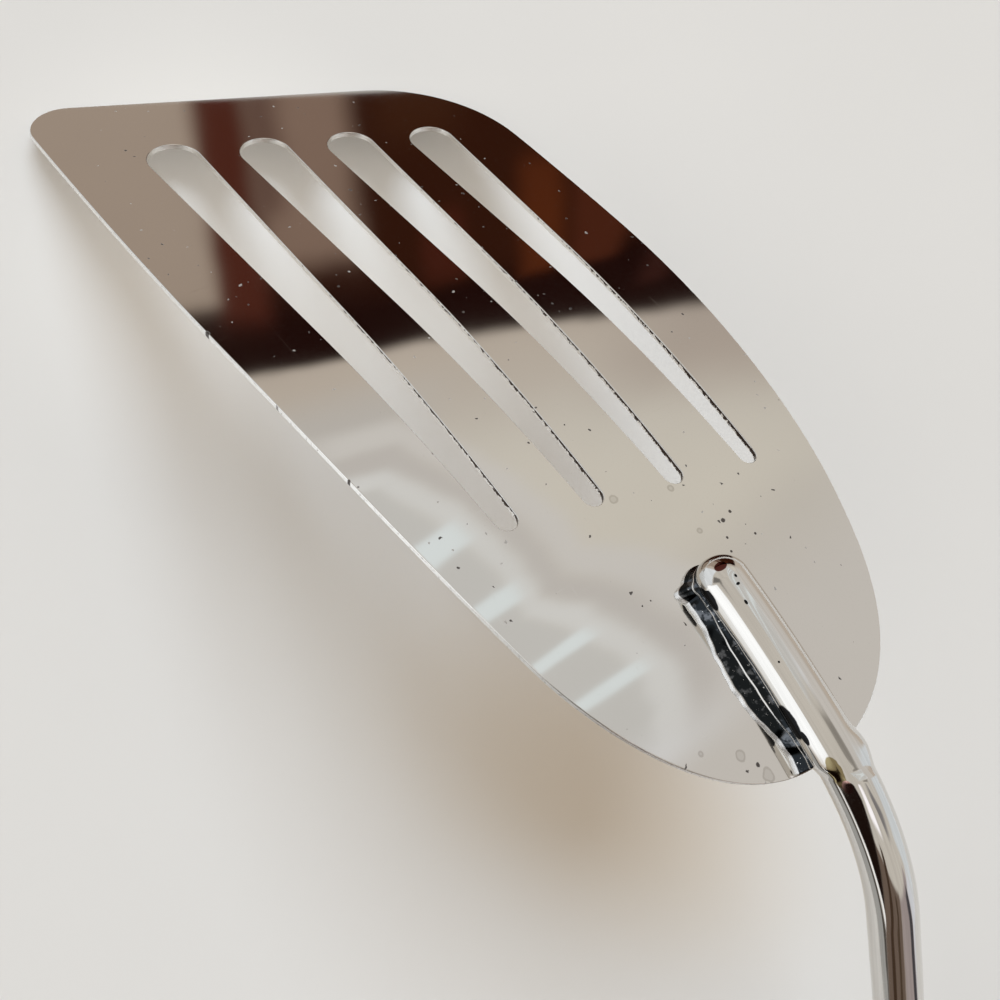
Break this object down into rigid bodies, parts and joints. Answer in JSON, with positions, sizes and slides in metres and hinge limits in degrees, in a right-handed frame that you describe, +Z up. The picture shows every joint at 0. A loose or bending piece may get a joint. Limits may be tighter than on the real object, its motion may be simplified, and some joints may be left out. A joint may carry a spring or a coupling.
{
  "type": "fish spatula",
  "caption": "Slotted stainless steel turner with a slanted blade, a welded bent rod shank, a hollow round handle and a hanging loop.",
  "frame": {"origin": "on the table under the middle of the part, as it lies sole up on its front edge and handle end", "axes": "+X from the blade's front edge towards the handle's end, +Z up from the table, +Y across the blade"},
  "size_m": [0.3043, 0.0827, 0.0713],
  "materials": {
    "polished_blade_steel": "mirror polished, with fine scratches",
    "polished_rod_steel": "polished along the bar",
    "weld_steel": "rippled weld, brushed over",
    "handle_steel": "satin, brushed along the handle",
    "loop_wire_steel": "drawn wire, polished"
  },
  "bodies": {
    "spatula": {"blade": "polished_blade_steel", "shank_rod": "polished_rod_steel", "left_weld_bead": "weld_steel", "right_weld_bead": "weld_steel", "ferrule": "handle_steel", "handle_tube": "handle_steel", "end_cap": "handle_steel"},
    "loop": {"hanging_loop": "loop_wire_steel"}
  },
  "joints": [
    {"name": "loop_swing", "type": "hinge", "parent": "spatula", "child": "loop", "pos_m": [0.12453, -0.00078, 0.0085], "axis": [0.005, 0.9878, -0.1559], "range_deg": [-107, 133]}
  ]
}
